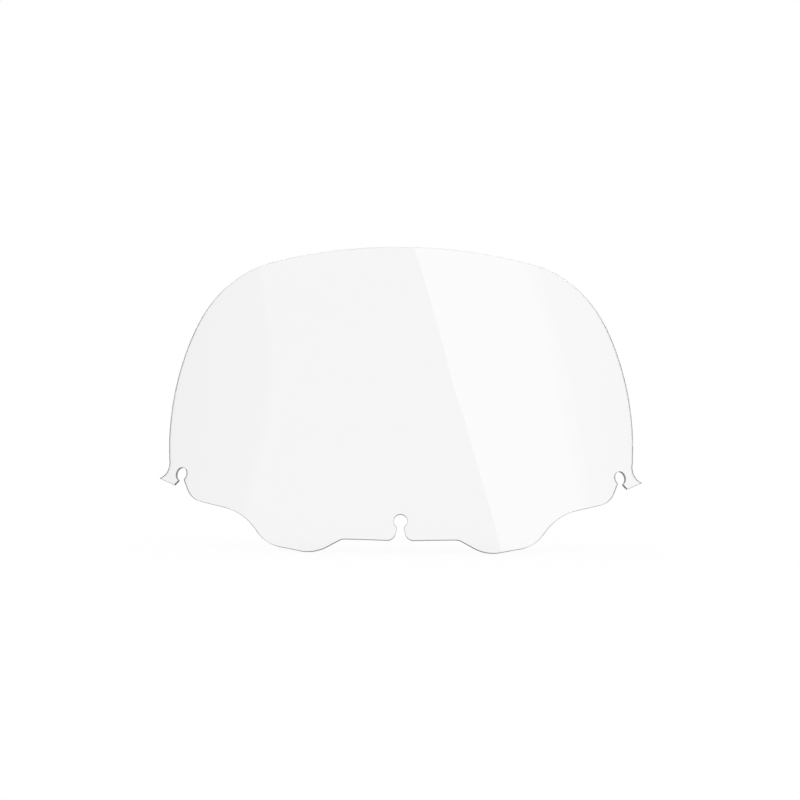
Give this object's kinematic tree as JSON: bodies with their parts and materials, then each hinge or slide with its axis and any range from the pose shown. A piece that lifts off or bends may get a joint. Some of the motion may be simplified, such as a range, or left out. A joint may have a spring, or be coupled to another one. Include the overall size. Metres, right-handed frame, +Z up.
{
  "type": "windshield screen",
  "caption": "Clear bent windshield screen for a handlebar-mounted motorcycle fairing, with keyhole slots along its shaped lower edge.",
  "frame": {"origin": "centre of the middle keyhole slot, halfway through the sheet", "axes": "+X across the sheet's width, +Z up, -Y the crowned outer side, which faces the way the motorcycle heads; the sheet leans back 16 degrees, its top towards +Y, where the rider is"},
  "size_m": [0.5474, 0.1412, 0.3389],
  "materials": {
    "clear_sheet": "clear, polished both sides"
  },
  "bodies": {
    "root": {"screen_sheet": "clear_sheet"}
  },
  "joints": []
}
